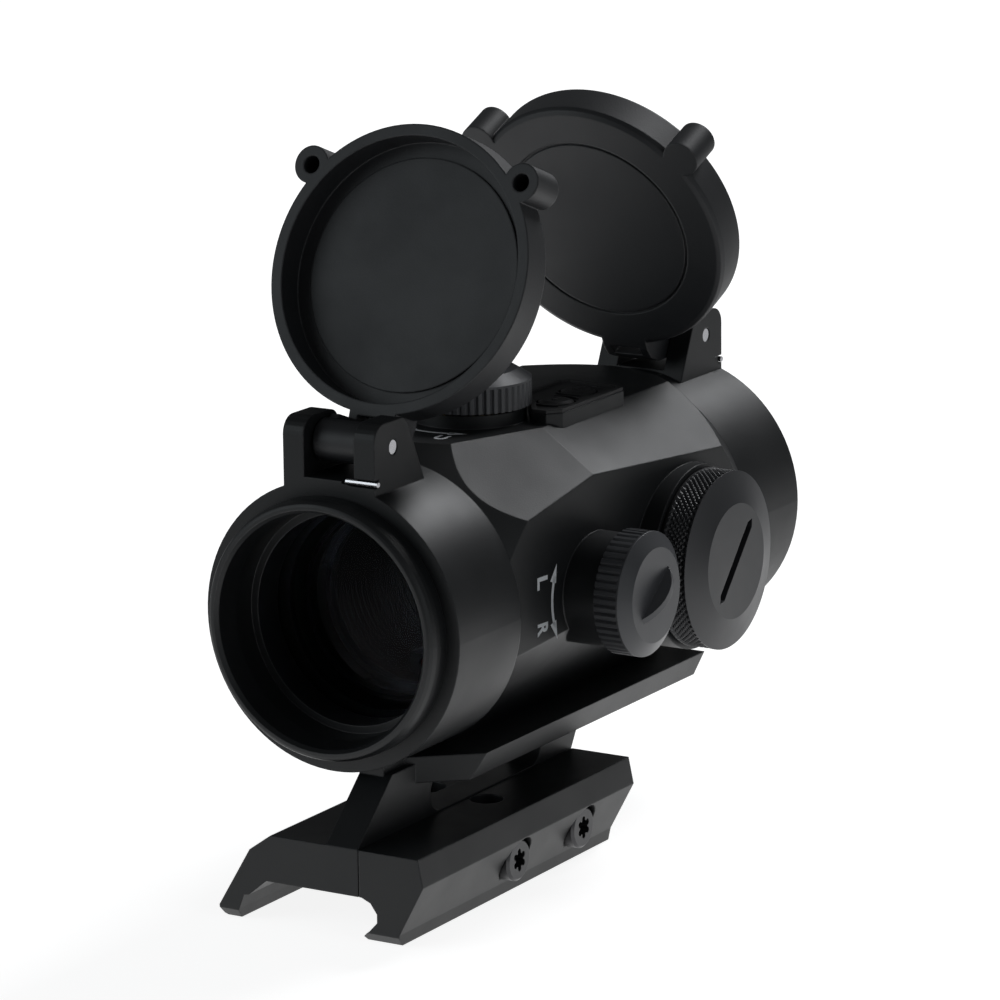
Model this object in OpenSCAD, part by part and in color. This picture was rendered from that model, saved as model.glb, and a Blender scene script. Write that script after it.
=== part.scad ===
// Tube-type red dot finder with flip-up caps on a raised rail mount.
// +Y runs forward along the optical axis, +X is the windage side, +Z is up.
// The origin lies on the optical axis at the rear face of the housing.

/* [Housing] */
// Diameter of the round ends of the housing
tube_d = 40; // [39:0.5:42]
// Length of the housing from end face to end face
tube_len = 96; // [94:1:104]
// Length of the round rear end
rear_len = 15.9; // [15:0.1:17]
// Distance of the top flat above the optical axis
top_flat = 21.8; // [21.4:0.1:22.4]
// Distance of the side flats from the optical axis
side_flat = 20.2; // [19.8:0.1:20.6]
// Half width of the top flat
top_half = 12.1; // [11.6:0.1:12.6]
// Height on the side flats where the upper chamfer starts
chamfer_z = 15.8; // [15:0.1:16.4]
// Depth below the axis where the lower facets start
keel_z = 3.7; // [3.2:0.1:5]
// Half width of the bottom flat
keel_half = 7.5; // [7:0.1:8.5]
// Diameter of the main bore
bore_d = 31.2; // [30.4:0.1:31.4]
// Diameter of the bores that take the bezels
bezel_bore_d = 32.8; // [32.4:0.1:33.4]
// Depth of the bezel bores
bezel_bore_depth = 13; // [12.5:0.1:14]
// Angle by which the side flats spread towards the front
side_flare = 4.7; // [3:0.1:5]
// Lean of the oblique rear facets
facet_lean = 12.8; // [11:0.1:14]
// Roll of the oblique rear facets about the optical axis
facet_roll = 36.9; // [35:0.1:39]

/* [Bezels and glass] */
// Diameter of the bezel flange
bezel_d = 36; // [35:0.1:36.2]
// Clear diameter at the bezel lip
lip_d = 32.4; // [31.5:0.1:32.6]
// How far the bezel stands out of the housing
bezel_out = 3.5; // [3:0.1:3.7]
// Height of the straight part of the bezel flange
bezel_rim = 1.5; // [1.2:0.1:1.7]
// Clear diameter inside the bezel
bezel_bore = 31.4; // [30.8:0.1:31.6]
// Clear diameter at the inner step of the bezel
bezel_step_d = 29.2; // [28.6:0.1:30]
// Depth of the inner step
bezel_step = 4.2; // [3.5:0.1:5]
// Length of the threaded bezel barrel
bezel_barrel = 9; // [8.5:0.1:9.3]
// Thickness of the end windows
window_t = 2.5; // [2:0.1:2.7]
// Opening of the window retainers
retainer_d = 28.4; // [28:0.1:29]

/* [Inner tube] */
// Radial gap between the main bore and the inner tube
inner_gap = 2.2; // [2.1:0.05:2.4]
// Wall of the inner tube
inner_wall = 1.3; // [1.2:0.05:1.5]
// Wall left beside the lenses
seat_wall = 0.6; // [0.5:0.05:0.7]
// Distance of the inner tube from the rear bezel bore
inner_start = 1.6; // [1.4:0.1:2]
// Distance of the inner tube from the front face
inner_short = 16; // [15.5:0.1:16.5]
// Distance of the gimbal axes from the front of the inner tube
gimbal_in = 4; // [3.8:0.1:5]
// Diameter of the gimbal trunnions
trunnion_d = 2; // [1.8:0.1:2.4]
// Pitch of the anti-glare thread
glare_pitch = 1.25; // [1:0.05:1.6]
// Depth of the anti-glare thread
glare_depth = 0.4; // [0.2:0.05:0.5]

/* [Turrets] */
// Distance of both turret axes from the rear face
turret_y = 36; // [35.5:0.1:36.5]
// Diameter of the turret bosses
boss_d = 15.9; // [15.6:0.1:16.4]
// Diameter of the turret caps
turret_d = 17.4; // [17:0.1:18]
// Height where the windage cap starts
windage_seat = 24.6; // [24.4:0.1:25]
// Height where the elevation cap starts
elevation_seat = 24; // [23.9:0.1:24.6]
// Length of the serrated band
serrated_len = 3.7; // [3.4:0.1:4]
// Height of the conical chamfer
turret_bevel = 1.25; // [1:0.05:1.5]
// Diameter of the flat face
turret_face = 13.3; // [12.8:0.1:13.8]
// Number of serrations on a turret cap
serrations = 48; // [36:1:52]
// Length of the blade on the cap
blade_len = 9.6; // [9:0.1:10]
// Height of the blade
blade_h = 2; // [1.6:0.1:2.2]
// Thickness of the blade
blade_t = 1; // [0.8:0.1:1.2]
// Angle of the blade
blade_turn = 52; // [30:1:60]

/* [Battery] */
// Distance of the battery axis from the rear face
battery_y = 58.4; // [58.2:0.1:59]
// Diameter of the battery boss
battery_boss_d = 26.4; // [26:0.1:27]
// Height of the battery boss above the optical axis
battery_boss_h = 23.9; // [23.6:0.1:24.2]
// Diameter of the battery cap
battery_cap_d = 25.4; // [25:0.1:26]
// Height where the knurled band starts
battery_seat = 25.3; // [25.1:0.1:25.6]
// Length of the knurled band
knurl_len = 4.1; // [3.8:0.1:4.5]
// Height of the wide chamfer
battery_bevel = 1.25; // [1:0.05:1.6]
// Diameter of the flat face
battery_face = 16.7; // [16:0.1:17.4]
// Number of knurl grooves each way
knurls = 36; // [30:1:40]
// Diameter of the coin cell
cell_d = 20; // [20:0.1:20.2]
// Thickness of the coin cell
cell_t = 3.2; // [3:0.1:3.3]
// Length of the coin slot
coin_slot = 14; // [13:0.1:15]

/* [Caps] */
// Diameter of the flip-up caps
cap_d = 40; // [39.5:0.1:40.5]
// Depth of a cap
cap_depth = 5.7; // [5.5:0.1:6]
// Inner diameter of the cap rim
cap_bore = 36.8; // [36.7:0.1:37]
// Depth of the recess inside a cap
cap_recess = 4.3; // [4.2:0.1:4.5]
// Height of the hinge pin above the optical axis
hinge_z = 24.5; // [24.4:0.1:24.7]
// Distance of the hinge pin from the end face
hinge_in = 4.7; // [4.6:0.1:4.9]
// Diameter of the hinge barrel
barrel_d = 5.8; // [5.5:0.1:6]
// Diameter of the hinge pin
hinge_pin_d = 2; // [1.9:0.1:2.1]
// Lean of the open rear cap past upright
rear_lean = 20.6; // [18:0.1:22]
// Lean of the open front cap past upright
front_lean = 23.5; // [18:0.1:24]
// Width across the hinge ears
yoke_w = 14.4; // [14:0.1:15]
// Width of the gap between the ears
yoke_gap = 7.9; // [7.7:0.1:8.2]
// Diameter of the lugs on the caps
lug_d = 5.3; // [5:0.1:5.6]
// Diameter of the blind holes in the lugs
lug_hole = 2.5; // [2.2:0.1:2.7]

/* [Keypad] */
// Height of the keypad boss above the top flat
pad_boss = 1.4; // [1.2:0.1:1.6]
// Diameter of a button
button_d = 5; // [4.6:0.1:5.1]
// Travel of a button
button_travel = 0.6; // [0.4:0.1:0.7]

/* [Mount] */
// Depth of the rail seat below the optical axis
seat_depth = 34.7; // [34.5:0.1:35]
// Depth of the top of the base below the optical axis
base_depth = 28.2; // [28:0.1:28.6]
// Depth of the lower edge of the jaws
jaw_depth = 40.9; // [40.7:0.1:41.2]
// Rear end of the base
base_rear = -6.6; // [-7:0.1:-6]
// Length of the base
base_len = 56.7; // [56:0.1:58]
// Full width of the rail between the jaws
rail_w = 21.2; // [21.2:0.1:21.4]
// Depth of the top of the plate below the optical axis
plate_depth = 19; // [18.9:0.1:19.2]
// Thickness of the plate
plate_t = 3.7; // [3.4:0.1:4]
// Half width of the plate
plate_half = 15.2; // [15:0.1:16]
// Thickness of the web
web_t = 5; // [4.5:0.1:5.5]
// Side of the web next to the clamp bar
web_side = 7.7; // [7.5:0.1:7.9]
// Gap between the base and the clamp bar
bar_gap = 0.15; // [0.1:0.05:0.2]
// Travel of the clamp bar
bar_travel = 2.8; // [2:0.1:3]
// Thread diameter of the clamp screws
screw_d = 4; // [3.5:0.1:4.2]
// Head diameter of the clamp screws
head_d = 6; // [5.6:0.1:6.2]
// Position of the rear clamp screw
screw_rear = 20.2; // [19.5:0.1:21]
// Distance between the clamp screws
screw_pitch = 17.6; // [17:0.1:18.2]

/* [Hidden] */
$fn = 96;

eps = 0.01;
run = 0.05;   // running clearance on a radius
fit = 0.05;   // clearance on a radius of a threaded or glued piece
apart = 0.3;  // clearance between pieces that pass each other
black = [0.11, 0.11, 0.12];
dark = [0.06, 0.06, 0.065];
steel = [0.72, 0.72, 0.74];
brass = [0.76, 0.63, 0.3];
glass = [0.45, 0.6, 0.75, 0.5];
tube_r = tube_d / 2;
inner_d = bore_d - 2 * inner_gap;
inner_bore = inner_d - 2 * inner_wall;
seat_d = inner_d - 2 * seat_wall;
inner_rear = bezel_bore_depth + inner_start;
inner_front = tube_len - inner_short;
gimbal_y = inner_front - gimbal_in;
block_end = tube_len - 16;

// Local +Z becomes +Y, starting at y
module along_y(y = 0) translate([0, y, 0]) rotate([-90, 0, 0]) children();

// Local +Z becomes -Y, starting at y
module against_y(y = 0) translate([0, y, 0]) rotate([90, 0, 0]) children();

// Local +Z becomes +X at the height z of the optical axis
module along_x(y, x = 0) translate([x, y, 0]) rotate([0, 90, 0]) children();

// A tube from radius r1 out to radius r2
module ring(r2, r1, h) difference() {
    cylinder(h = h, r = r2);
    translate([0, 0, -1]) cylinder(h = h + 2, r = r1);
}

// ---------------------------------------------------------------- housing

// The turned outline of the housing, as [radius, distance from the rear face]
module turned_form() {
    edge = 0.4;
    swell = 8;
    neck_slope = 0.6;
    taper = 6.5;
    rotate_extrude() polygon([[0, 0], [tube_r - edge, 0], [tube_r, edge], [tube_r, rear_len],
        [tube_r + swell, rear_len + swell / neck_slope], [tube_r + swell, block_end - 2 * taper - 2],
        [tube_r, block_end], [tube_r, tube_len - edge], [tube_r - edge, tube_len], [0, tube_len]]);
}

// Cross-section of the block before the side flats are milled, seen along the optical axis
module block_section() {
    spare = 3.5;
    upper = chamfer_z - spare * (top_flat - chamfer_z) / (side_flat - top_half);
    lower = -keel_z + spare * (plate_depth - keel_z) / (side_flat - keel_half);
    for (side = [0, 1]) mirror([side, 0]) polygon([[-eps, top_flat], [top_half, top_flat],
        [side_flat + spare, upper], [side_flat + spare, lower], [keel_half, -plate_depth],
        [-eps, -plate_depth]]);
}

// Everything outside a plane with the given roll, lean and distance from the origin
module facet_cut(roll, lean, distance) rotate([0, roll, 0]) rotate([lean, 0, 0])
    translate([-60, -60, distance]) cube([120, 240, 120]);

module block() {
    facet_out = 16.25;
    lower_roll = 130;
    lower_lean = 11.2;
    lower_out = 15.4;
    flare_at = 38;
    difference() {
        intersection() {
            along_y() turned_form();
            translate([0, tube_len, 0]) rotate([90, 0, 0]) linear_extrude(tube_len) block_section();
        }
        for (side = [0, 1]) mirror([side, 0, 0]) {
            facet_cut(facet_roll, facet_lean, facet_out);
            facet_cut(lower_roll, lower_lean, lower_out);
            facet_cut(90, side_flare, side_flat * cos(side_flare) - flare_at * sin(side_flare));
        }
    }
}

// Side profile of the hinge ears, as [distance from the end face, height]
function ear_points() = let (top = 28.1, nose = 2.4, foot = 12.6)
    concat([[0, 15]],
        [for (a = [180:-15:90]) [nose + nose * cos(a), top - nose + nose * sin(a)]],
        [for (a = [90:-15:30]) [6.7 + 2 * cos(a), top - 2 + 2 * sin(a)]],
        [[foot, 18.2], [foot, 15]]);

module yoke() {
    floor_z = 20.2;
    difference() {
        translate([yoke_w / 2, 0, 0]) rotate([90, 0, -90]) linear_extrude(yoke_w)
            polygon([for (p = ear_points()) [-p[0], p[1]]]);
        translate([-yoke_gap / 2, -1, floor_z]) cube([yoke_gap, 20, 20]);
        translate([-yoke_w, hinge_in, hinge_z]) rotate([0, 90, 0])
            cylinder(h = 2 * yoke_w, d = hinge_pin_d + 2 * fit);
        translate([yoke_gap / 2 - 2, -1, floor_z - 0.55]) cube([yoke_w, 2, 1.1]);
        cavity();
    }
}

// Plan outline of the keypad
pad_points = [[9.2, 37.2], [11.6, 37.2], [13.1, 39.2], [13.1, 56.2], [11.8, 57.7], [3.6, 57.7],
    [2.2, 56.3], [2.2, 47.5]];

// Where the two edges at corner i of an outline meet once both are moved inwards by d
function inset_corner(pts, i, d) = let (n = len(pts), p = pts[i],
    a = pts[i] - pts[(i + n - 1) % n], b = pts[(i + 1) % n] - pts[i],
    na = [-a[1], a[0]] / norm(a), nb = [-b[1], b[0]] / norm(b))
    p + d * (na + nb) / (1 + na * nb);

module pad_outline(inset = 0)
    polygon([for (i = [0:len(pad_points) - 1]) inset_corner(pad_points, i, inset)]);

pad_top = top_flat + pad_boss;
pad_floor = top_flat - 3.6;
pad_wall = 0.8;
button_at = [[9, 44.4], [8.2, 52]];

module cavity() {
    bezel_r = bezel_bore_d / 2;
    along_y(-1) cylinder(h = tube_len + 2, d = bore_d);
    along_y(-1) cylinder(h = bezel_bore_depth + 1, r = bezel_r);
    along_y(tube_len - bezel_bore_depth) cylinder(h = bezel_bore_depth + 1, r = bezel_r);
}

bushing_d = 11;
trunnion_out = bore_d / 2 + 1.6;

module housing() color(black) difference() {
    union() {
        along_y() cylinder(h = rear_len, d = tube_d);
        along_y(block_end) cylinder(h = tube_len - block_end, d = tube_d);
        block();
        yoke();
        translate([0, tube_len, 0]) mirror([0, 1, 0]) yoke();
        along_x(turret_y) cylinder(h = windage_seat - apart, d = boss_d);
        translate([0, turret_y, 0]) cylinder(h = elevation_seat - apart, d = boss_d);
        along_x(battery_y) cylinder(h = battery_boss_h, d = battery_boss_d);
        translate([0, 0, top_flat - 1]) linear_extrude(pad_boss + 1) pad_outline();
    }
    cavity();
    along_x(turret_y) cylinder(h = 40, d = bushing_d);
    translate([0, turret_y, 0]) cylinder(h = 40, d = bushing_d);
    along_x(turret_y, windage_seat - apart) seal_groove();
    translate([0, turret_y, elevation_seat - apart]) seal_groove();
    along_x(battery_y, battery_floor) cylinder(h = 20, d = tube_bore_d);
    translate([0, 0, pad_floor]) linear_extrude(10) pad_outline(pad_wall);
    for (x = [-1, 1]) along_x(gimbal_y, x < 0 ? -trunnion_out - fit : 10)
        cylinder(h = trunnion_out + fit - 10, d = trunnion_d + 2 * run);
    for (y = plate_screw_at) translate([0, y, -plate_depth - 1])
        cylinder(h = plate_screw_in + 1, d = plate_screw_d);
}

// ------------------------------------------------------- bezels and glass

// Turned section of a bezel, measured inwards from the end face
bezel_crown = 0.9;
crown_h = bezel_out - bezel_rim;

// Bezel with a crowned rim and an inner chamfer
module bezel() rotate_extrude() polygon(concat([[bezel_d / 2, 0]],
    [for (a = [0:22.5:90]) [bezel_d / 2 - bezel_crown * (1 - cos(a)), -bezel_rim - crown_h * sin(a)]],
    [[lip_d / 2 + 0.45, -bezel_out], [lip_d / 2, -bezel_out + 0.6], [bezel_bore / 2, 0.5],
    [bezel_bore / 2, bezel_step], [bezel_step_d / 2, bezel_step],
    [bezel_step_d / 2, bezel_barrel], [bezel_bore_d / 2 - fit, bezel_barrel],
    [bezel_bore_d / 2 - fit, 0]]));

window_at = bezel_barrel + 0.1;
retainer_at = window_at + window_t + 0.1;

module window() translate([0, 0, window_at]) cylinder(h = window_t, d = bezel_bore_d - 4 * fit);

module retainer() translate([0, 0, retainer_at])
    ring(bezel_bore_d / 2 - 2 * fit, retainer_d / 2, bezel_bore_depth - retainer_at - 0.1);

module ocular_bezel() color(black) along_y() bezel();
module ocular_window() color(glass) along_y() window();
module ocular_retainer() color(dark) along_y() retainer();
module objective_bezel() color(black) against_y(tube_len) bezel();
module objective_window() color(glass) against_y(tube_len) window();
module objective_retainer() color(dark) against_y(tube_len) retainer();

// ------------------------------------------------------------- inner tube

seat_len = 4.6;
tube_wall_r = inner_d / 2;

// Section of the inner tube with its anti-glare thread, as [radius, distance from the rear face]
module inner_section() {
    first = inner_rear + seat_len + 1.5;
    count = floor((gimbal_y - 12 - first) / glare_pitch);
    thread = [for (i = [0:count - 1]) each [
        [inner_bore / 2, first + i * glare_pitch],
        [inner_bore / 2 + glare_depth, first + (i + 0.5) * glare_pitch]]];
    polygon(concat([[tube_wall_r, inner_rear], [seat_d / 2, inner_rear],
        [seat_d / 2, inner_rear + seat_len], [inner_bore / 2, inner_rear + seat_len]], thread,
        [[inner_bore / 2, first + count * glare_pitch], [inner_bore / 2, inner_front - seat_len],
        [seat_d / 2, inner_front - seat_len], [seat_d / 2, inner_front],
        [tube_wall_r, inner_front]]));
}

module inner_tube() color(dark) difference() {
    along_y() rotate_extrude() inner_section();
    translate([0, gimbal_y, -20]) cylinder(h = 40, d = trunnion_d + 2 * run);
}

lens_t = 2.8;

// A round lens with one bulged face towards local +Z
module lens(d, t, bulge) {
    r = (d * d / 4 + bulge * bulge) / (2 * bulge);
    rotate_extrude() intersection() {
        square([d / 2, t + bulge]);
        translate([0, t + bulge - r]) circle(r = r, $fn = 480);
    }
}

module eyepiece_lens() color(glass) against_y(inner_rear + seat_len - 0.05)
    lens(seat_d - 2 * fit, lens_t, 0.6);

module collimator_lens() color([0.75, 0.45, 0.35, 0.5]) along_y(inner_front - seat_len + 0.05)
    lens(seat_d - 2 * fit, lens_t, 0.9);

ring_in = inner_d / 2 + apart;
ring_out = bore_d / 2 - apart;

module gimbal_ring() color(steel) {
    ring_len = 3.4;
    along_y(gimbal_y - ring_len / 2) ring(ring_out, ring_in, ring_len);
    for (x = [-1, 1]) along_x(gimbal_y, x < 0 ? -trunnion_out : ring_out - 0.5)
        cylinder(h = trunnion_out - ring_out + 0.5, d = trunnion_d);
    for (z = [-1, 1]) translate([0, gimbal_y, z < 0 ? -ring_in - 0.5 : ring_in - 0.9])
        cylinder(h = 1.4, d = trunnion_d);
}

led_y = 24;
led_at = -inner_bore / 2 + 1.6;

module led_holder() color(dark) translate([0, led_y, 0]) intersection() {
    rotate([-90, 0, 0]) cylinder(h = 3, d = inner_bore - 2 * fit);
    difference() {
        translate([-2.4, 0, -inner_bore / 2]) cube([4.8, 3, 3]);
        translate([0, -1, led_at]) rotate([-90, 0, 0]) cylinder(h = 5, d = 1.9);
    }
}

module led_emitter() color([0.75, 0.1, 0.08]) translate([0, led_y + 0.4, led_at]) rotate([-90, 0, 0]) {
    cylinder(h = 2.4, d = 1.8);
    translate([0, 0, 2.4]) sphere(d = 1.8, $fn = 24);
}

// Leaf spring that bears against the inner tube opposite both turrets
module return_spring() color(steel) {
    leaf_w = 7;
    leaf_r = bore_d / 2 - 0.1;
    span = 34;
    thick = 0.35;
    rise = 0.8;
    translate([0, turret_y, 0]) rotate([0, -135, 0]) translate([-leaf_w / 2, 0, 0])
        rotate([90, 0, 90]) linear_extrude(leaf_w) difference() {
            sag = (span * span / 4 + rise * rise) / (2 * rise);
            translate([0, leaf_r - rise - 0.4 + sag]) circle(r = sag, $fn = 240);
            translate([0, leaf_r - rise - 0.4 + sag]) circle(r = sag - thick, $fn = 240);
            translate([-200, leaf_r - 0.4]) square([400, 400]);
        }
}

// ---------------------------------------------------------------- turrets

bushing_neck = 12.8;
dial_d = 9.6;
shank_d = 5.9;
plunger_d = 2.8;
seal_d = 14.4;
seal_wire = 0.8;

module seal_groove() translate([0, 0, -0.9]) ring(seal_d / 2 + 0.45, seal_d / 2 - 0.45, 2);

// Threaded bushing, from the inner end of its stem to the top of its neck
module bushing(seat) difference() {
    union() {
        translate([0, 0, bore_d / 2 + 0.6]) cylinder(h = seat - apart - bore_d / 2 - 0.6, d = bushing_d - 2 * fit);
        translate([0, 0, seat - apart]) cylinder(h = 3.1, d = bushing_neck);
    }
    translate([0, 0, 10]) cylinder(h = 20, d = shank_d + 2 * run);
    translate([0, 0, seat - 0.6]) cylinder(h = 10, d = dial_d + 2 * apart);
}

module dial(seat) difference() {
    head = 1.9;
    union() {
        translate([0, 0, seat - 0.55]) cylinder(h = head, d = dial_d);
        translate([0, 0, bore_d / 2 + 1]) cylinder(h = seat - bore_d / 2 - 1.5, d = shank_d);
    }
    translate([0, 0, 10]) cylinder(h = seat - 11.5, d = plunger_d + 2 * run);
    translate([-dial_d, -0.5, seat + head - 1.4]) cube([2 * dial_d, 1, 2]);
}

module plunger(seat) translate([0, 0, inner_d / 2 + run]) {
    length = seat - 3 - inner_d / 2;
    translate([0, 0, 0.4]) cylinder(h = length - 0.4, d = plunger_d);
    cylinder(h = 0.4, d1 = plunger_d - 0.8, d2 = plunger_d);
}

module seal(seat) translate([0, 0, seat - 0.76]) rotate_extrude()
    translate([seal_d / 2, 0]) circle(d = seal_wire, $fn = 24);

// Turret cap with straight serrations and a raised half-moon blade
module turret_cap(seat) {
    top = serrated_len + turret_bevel;
    groove = 0.45;
    translate([0, 0, seat]) {
        difference() {
            union() {
                cylinder(h = serrated_len, d = turret_d);
                translate([0, 0, serrated_len])
                    cylinder(h = turret_bevel, d1 = turret_d, d2 = turret_face);
            }
            translate([0, 0, -1]) cylinder(h = serrated_len + 0.2, d = bushing_neck + 2 * apart);
            for (i = [0:serrations - 1]) rotate([0, 0, i * 360 / serrations])
                translate([turret_d / 2, 0, -1]) rotate([0, 0, 45])
                    translate([-groove / 2, -groove / 2, 0]) cube([groove, groove, serrated_len + 0.7]);
        }
        rotate([0, 0, -blade_turn]) half_moon(top);
    }
}

// Blade with a straight foot and an arched top
module half_moon(z) {
    r = (blade_len * blade_len / 4 + blade_h * blade_h) / (2 * blade_h);
    translate([0, blade_t / 2, z - eps]) rotate([90, 0, 0]) linear_extrude(blade_t)
        intersection() {
            translate([0, blade_h - r]) circle(r = r, $fn = 160);
            translate([-blade_len, 0]) square([2 * blade_len, blade_h + 1]);
        }
}

module windage_bushing() color(brass) along_x(turret_y) bushing(windage_seat);
module windage_dial() color(steel) along_x(turret_y) dial(windage_seat);
module windage_plunger() color(steel) along_x(turret_y) plunger(windage_seat);
module windage_seal() color(dark) along_x(turret_y) seal(windage_seat);
module windage_cap() color(black) along_x(turret_y) turret_cap(windage_seat);

module on_top() translate([0, turret_y, 0]) children();

module elevation_bushing() color(brass) on_top() bushing(elevation_seat);
module elevation_dial() color(steel) on_top() dial(elevation_seat);
module elevation_plunger() color(steel) on_top() plunger(elevation_seat);
module elevation_seal() color(dark) on_top() seal(elevation_seat);
module elevation_cap() color(black) on_top() turret_cap(elevation_seat);

// ---------------------------------------------------------------- battery

tube_bore_d = cell_d + 2.6;
battery_floor = 19.2;
battery_neck = 23.2;
cell_at = battery_floor + 1.8;

module battery_tube() color(black) along_x(battery_y) difference() {
    floor_t = 1;
    union() {
        translate([0, 0, battery_floor]) cylinder(h = battery_boss_h - battery_floor + 1, d = tube_bore_d - 2 * fit);
        translate([0, 0, battery_boss_h]) cylinder(h = 3.8, d = battery_neck);
    }
    translate([0, 0, battery_floor + floor_t]) cylinder(h = 20, d = cell_d + 0.4);
}

// Sprung contact disc with three raised fingers under the cell
module battery_contact() color(brass) along_x(battery_y, battery_floor + 1) {
    ring(6, 3, 0.3);
    for (i = [0:2]) rotate([0, 0, i * 120]) translate([3, -1, 0]) rotate([0, -6, 0]) cube([4.6, 2, 0.3]);
}

module coin_cell() color(steel) along_x(battery_y, cell_at) {
    cylinder(h = 0.5, d = cell_d - 2.4);
    translate([0, 0, 0.5]) cylinder(h = cell_t - 0.5, d = cell_d);
}

module battery_seal() color(dark) along_x(battery_y, battery_boss_h + 0.52) rotate_extrude()
    translate([battery_neck / 2 + 0.52, 0]) circle(d = 1, $fn = 24);

// Cap with a diamond knurl, a wide chamfer and a coin slot
module battery_cap() color(black) along_x(battery_y, battery_seat) difference() {
    groove = 0.62;
    slot_t = 1;
    slot_turn = 42;
    lead = 24;
    top = knurl_len + battery_bevel;
    union() {
        cylinder(h = knurl_len, d = battery_cap_d);
        translate([0, 0, knurl_len]) cylinder(h = battery_bevel, d1 = battery_cap_d, d2 = battery_face);
        translate([0, 0, cell_at + cell_t + apart - battery_seat]) cylinder(h = 4, d = 13);
    }
    difference() {
        translate([0, 0, -1]) cylinder(h = 4, d = battery_neck + 2 * apart);
        translate([0, 0, cell_at + cell_t + apart - battery_seat]) cylinder(h = 6, d = 13);
    }
    for (i = [0:knurls - 1], way = [-1, 1]) rotate([0, 0, i * 360 / knurls])
        translate([battery_cap_d / 2, 0, knurl_len / 2]) rotate([way * lead, 0, 0]) rotate([0, 0, 45])
            cube([groove, groove, knurl_len + 1.6], center = true);
    rotate([0, 0, -slot_turn]) {
        translate([-coin_slot / 2 + 1, -slot_t / 2, top - 0.9]) cube([coin_slot - 2, slot_t, 2]);
        for (s = [-1, 1]) translate([s * (coin_slot / 2 - 1), 0, top - 0.9])
            rotate([0, 0, s < 0 ? 180 : 0]) linear_extrude(2) polygon([[-eps, -slot_t / 2], [1, 0], [-eps, slot_t / 2]]);
    }
}

// ----------------------------------------------------------------- keypad

// Rubber pad with a raised border and two openings
module keypad() color(dark) difference() {
    union() {
        translate([0, 0, pad_top]) linear_extrude(0.5) pad_outline(0.1);
        translate([0, 0, pad_top - 1]) linear_extrude(1.1) pad_outline(pad_wall + fit);
    }
    translate([0, 0, pad_top + 0.2]) linear_extrude(1) pad_outline(0.9);
    for (p = button_at) translate([p[0], p[1], pad_top - 2]) cylinder(h = 4, d = button_d + 2 * apart);
}

// A button with a domed top and a flange that the pad holds down
module button(p) translate([p[0], p[1], 0]) {
    flange = pad_top - 1.3;
    translate([0, 0, flange - 0.5]) cylinder(h = 0.5, d = button_d + 0.8);
    translate([0, 0, flange - eps]) cylinder(h = 1.6, d = button_d);
    translate([0, 0, flange + 1.5]) cylinder(h = 0.4, d1 = button_d, d2 = button_d - 1.4);
}

module brighter_button() color(dark) button(button_at[1]);
module dimmer_button() color(dark) button(button_at[0]);

board_t = 0.8;

module circuit_board() color([0.08, 0.3, 0.16]) translate([0, 0, pad_floor + 0.05])
    linear_extrude(board_t) pad_outline(pad_wall + 0.1);

module dome_switches() color(steel) for (p = button_at) translate([p[0], p[1], pad_floor + board_t + 0.05]) {
    dome_h = pad_top - 1.8 - button_travel - 0.1 - pad_floor - board_t - 0.05;
    translate([-1.6, -1.6, 0]) cube([3.2, 3.2, dome_h - 0.4]);
    translate([0, 0, dome_h - 0.4]) cylinder(h = 0.4, d1 = 2.6, d2 = 1.6);
}

// ------------------------------------------------------------ flip-up caps

lug_x = 16.6;
lug_up = 13.2;
arm_w = yoke_gap - 2 * apart;
insert_d = 32.4;

// A cap with its hinge pin on the X axis of its own frame. The cap hangs down along -Z with its open
// side at +Y, as when it is closed over the rear end of the housing.
module cap() difference() {
    face = -hinge_in - apart - cap_depth;
    soft = 0.9;
    union() {
        translate([0, face, -hinge_z]) rotate([-90, 0, 0]) rotate_extrude() polygon([[0, 0],
            [cap_d / 2 - soft, 0], [cap_d / 2 - 0.3, 0.3], [cap_d / 2, soft], [cap_d / 2, cap_depth], [0, cap_depth]]);
        for (s = [-1, 1]) translate([s * lug_x, face, -hinge_z - lug_up]) rotate([-90, 0, 0]) {
            cylinder(h = cap_depth, d = lug_d);
            rotate([0, 0, s < 0 ? -atan2(lug_up, lug_x) : 180 + atan2(lug_up, lug_x)])
                translate([0, -1.9, 0]) cube([4, 3.8, cap_depth]);
        }
        cap_arm(face);
    }
    translate([0, face + cap_depth - cap_recess, -hinge_z]) rotate([-90, 0, 0]) cylinder(h = 10, d = cap_bore);
    for (s = [-1, 1]) translate([s * lug_x, face + 1.2, -hinge_z - lug_up]) rotate([-90, 0, 0])
        cylinder(h = 10, d = lug_hole);
    translate([0, face - 1, -hinge_z]) rotate([-90, 0, 0]) ring(14.5, 14.1, 1.35);
    translate([-20, 0, 0]) rotate([0, 90, 0]) cylinder(h = 40, d = hinge_pin_d + 2 * run);
    translate([spring_x, 0, 0]) rotate([0, 90, 0]) cylinder(h = 20, d = 4.4);
}

// Arm that reaches from the rim of the cap over the edge of the housing to the hinge barrel
module cap_arm(face) difference() {
    r = barrel_d / 2;
    union() {
        translate([-arm_w / 2, 0, 0]) rotate([0, 90, 0]) cylinder(h = arm_w, d = barrel_d);
        translate([arm_w / 2, 0, 0]) rotate([90, 0, -90]) linear_extrude(arm_w) polygon([
            [0, r], [-face - 2.4, -0.6], [-face - 0.6, -2.2], [-face, -4], [-face, -7.5], [hinge_in + apart, -7.5],
            [hinge_in + apart, -3.6], [0.6, -3.6], [0, -r]]);
    }
    translate([-2.35, face - 1, -4.2]) cube([4.7, 20, 1.5]);
}

// The flat disc set in the floor of a cap
module cap_insert() translate([0, -hinge_in - apart - cap_recess, -hinge_z]) rotate([-90, 0, 0])
    cylinder(h = 0.3, d = insert_d);

spring_x = 0.4;
wire = 0.7;

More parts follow.
